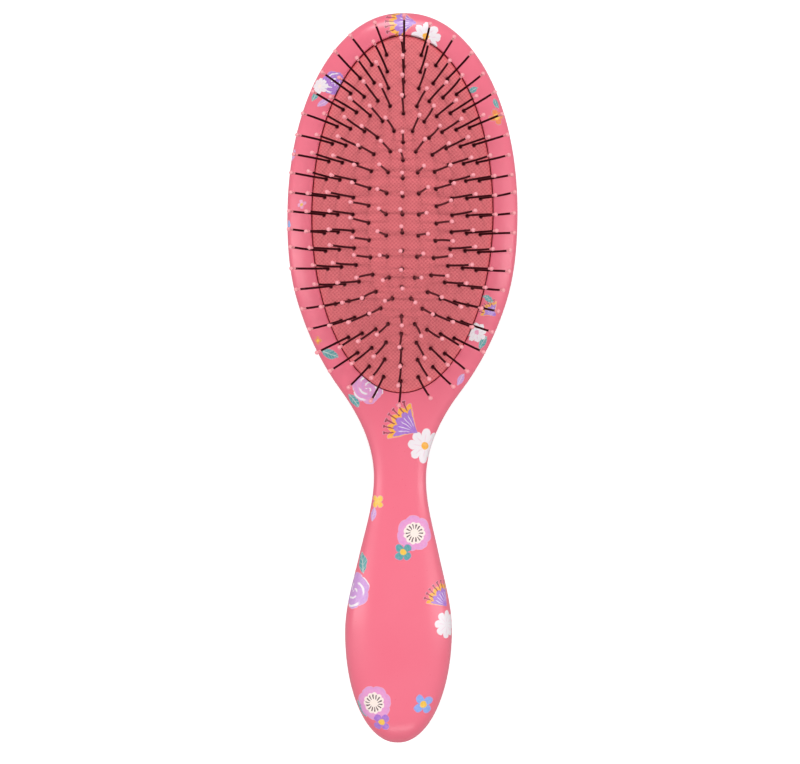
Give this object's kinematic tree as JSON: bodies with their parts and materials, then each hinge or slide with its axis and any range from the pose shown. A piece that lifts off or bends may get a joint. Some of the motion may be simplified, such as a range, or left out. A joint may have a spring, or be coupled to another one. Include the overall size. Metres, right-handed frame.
{
  "type": "vanity hairbrush",
  "caption": "Cushioned oval detangling hairbrush with a bulbed handle, a domed rubber air cushion and fanned ball-tipped pins.",
  "frame": {"origin": "under the middle of the brush, on the plane that its back rests on", "axes": "+Z the way the pins point, +Y from the handle to the head, X across the brush"},
  "size_m": [0.071, 0.225, 0.0408],
  "materials": {
    "body_plastic": "satin",
    "cushion_rubber": "matte",
    "retainer_plastic": "satin",
    "pin_nylon": "satin",
    "tip_resin": "satin"
  },
  "bodies": {
    "brush_body": {"front_shell": "body_plastic", "back_shell": "body_plastic", "cushion": "cushion_rubber", "cushion_retainer": "retainer_plastic"},
    "centre_pins": {"pins_centre": "pin_nylon", "tips_centre": "tip_resin"},
    "ring_1_pins": {"pins_ring_1": "pin_nylon", "tips_ring_1": "tip_resin"},
    "ring_2_pins": {"pins_ring_2": "pin_nylon", "tips_ring_2": "tip_resin"},
    "ring_3_pins": {"pins_ring_3": "pin_nylon", "tips_ring_3": "tip_resin"},
    "ring_4_pins": {"pins_ring_4": "pin_nylon", "tips_ring_4": "tip_resin"},
    "ring_5_pins": {"pins_ring_5": "pin_nylon", "tips_ring_5": "tip_resin"}
  },
  "joints": [
    {"name": "cushion_press", "type": "slide", "parent": "brush_body", "child": "centre_pins", "axis": [0, 0, 1], "range_m": [-0.0045, 0], "stiffness_N_per_m": 800, "deforming": ["cushion"]},
    {"name": "ring_1_press", "type": "slide", "parent": "brush_body", "child": "ring_1_pins", "axis": [0, 0, 1], "range_m": [-0.00122, 0]},
    {"name": "ring_2_press", "type": "slide", "parent": "brush_body", "child": "ring_2_pins", "axis": [0, 0, 1], "range_m": [-0.00217, 0]},
    {"name": "ring_3_press", "type": "slide", "parent": "brush_body", "child": "ring_3_pins", "axis": [0, 0, 1], "range_m": [-0.00294, 0]},
    {"name": "ring_4_press", "type": "slide", "parent": "brush_body", "child": "ring_4_pins", "axis": [0, 0, 1], "range_m": [-0.00352, 0]},
    {"name": "ring_5_press", "type": "slide", "parent": "brush_body", "child": "ring_5_pins", "axis": [0, 0, 1], "range_m": [-0.00392, 0]}
  ],
  "couplings": [
    {"joint": "ring_1_press", "follows": "cushion_press", "ratio": 0.27},
    {"joint": "ring_2_press", "follows": "cushion_press", "ratio": 0.48},
    {"joint": "ring_3_press", "follows": "cushion_press", "ratio": 0.65},
    {"joint": "ring_4_press", "follows": "cushion_press", "ratio": 0.78},
    {"joint": "ring_5_press", "follows": "cushion_press", "ratio": 0.87}
  ]
}
